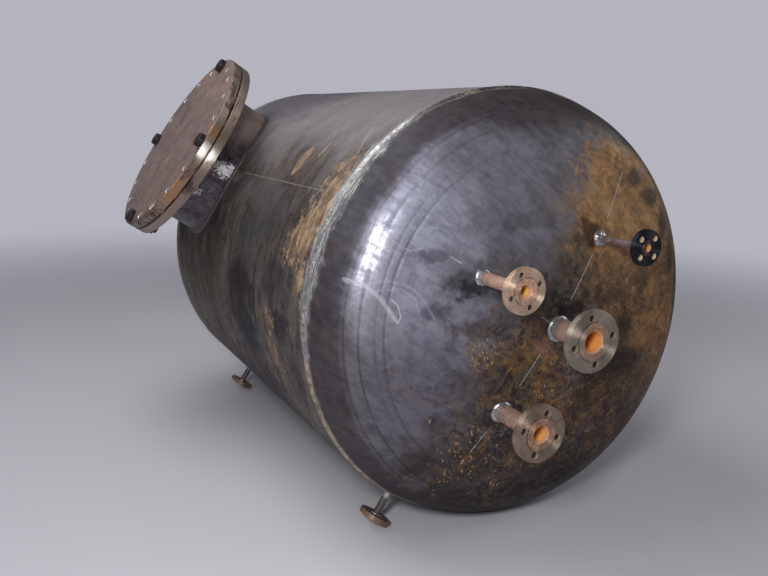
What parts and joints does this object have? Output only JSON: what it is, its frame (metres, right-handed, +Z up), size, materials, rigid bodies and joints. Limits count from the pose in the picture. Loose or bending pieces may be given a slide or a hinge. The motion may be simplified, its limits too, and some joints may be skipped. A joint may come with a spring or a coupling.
{
  "type": "steel storage tank",
  "caption": "Horizontal welded steel storage tank with dished heads, a bolted round manway and flanged pipe nozzles on one head and along the shell.",
  "frame": {"origin": "on the floor, in the middle of the tank's footprint box", "axes": "+Z up; +X along the tank towards the head with four nozzles; the manway leans towards -Y"},
  "size_m": [2.0626, 1.5114, 1.3686],
  "materials": {
    "shell": "mill scale with rust streaks",
    "head": "bluish mill scale, scratched and rusting",
    "weld": "bare rippled weld bead",
    "pipe": "dark pipe with weld spatter",
    "flange": "machined, lightly rusted",
    "dark_flange": "black oxide",
    "cover": "brown mill scale",
    "gasket": "dark sheet",
    "bolt": "dark hexagon bolts"
  },
  "bodies": {
    "root": {"shell": "shell", "head_front": "head", "head_rear": "head", "seam_front": "weld", "seam_rear": "weld", "seam_long": "weld", "side_nozzle_pipe": "pipe", "side_nozzle_flange": "flange", "side_nozzle_flange_weld": "weld", "side_nozzle_weld": "weld", "top_nozzle_pipe": "pipe", "top_nozzle_flange": "dark_flange", "top_nozzle_flange_weld": "weld", "top_nozzle_weld": "weld", "centre_nozzle_pipe": "pipe", "centre_nozzle_flange": "flange", "centre_nozzle_flange_weld": "weld", "centre_nozzle_weld": "weld", "low_nozzle_pipe": "pipe", "low_nozzle_flange": "flange", "low_nozzle_flange_weld": "weld", "low_nozzle_weld": "weld", "shell_nozzle_front_pipe": "pipe", "shell_nozzle_front_flange": "flange", "shell_nozzle_front_flange_weld": "weld", "shell_nozzle_front_weld": "weld", "shell_nozzle_rear_pipe": "pipe", "shell_nozzle_rear_flange": "flange", "shell_nozzle_rear_flange_weld": "weld", "shell_nozzle_rear_weld": "weld", "manway_neck": "pipe", "manway_weld": "weld", "manway_flange": "flange", "manway_flange_weld": "weld", "manway_gasket": "gasket", "manway_cover": "cover", "manway_bolt_1": "bolt", "manway_bolt_2": "bolt", "manway_bolt_3": "bolt", "manway_bolt_4": "bolt", "manway_nut_1": "bolt", "manway_nut_2": "bolt", "manway_nut_3": "bolt", "manway_nut_4": "bolt"}
  },
  "joints": []
}
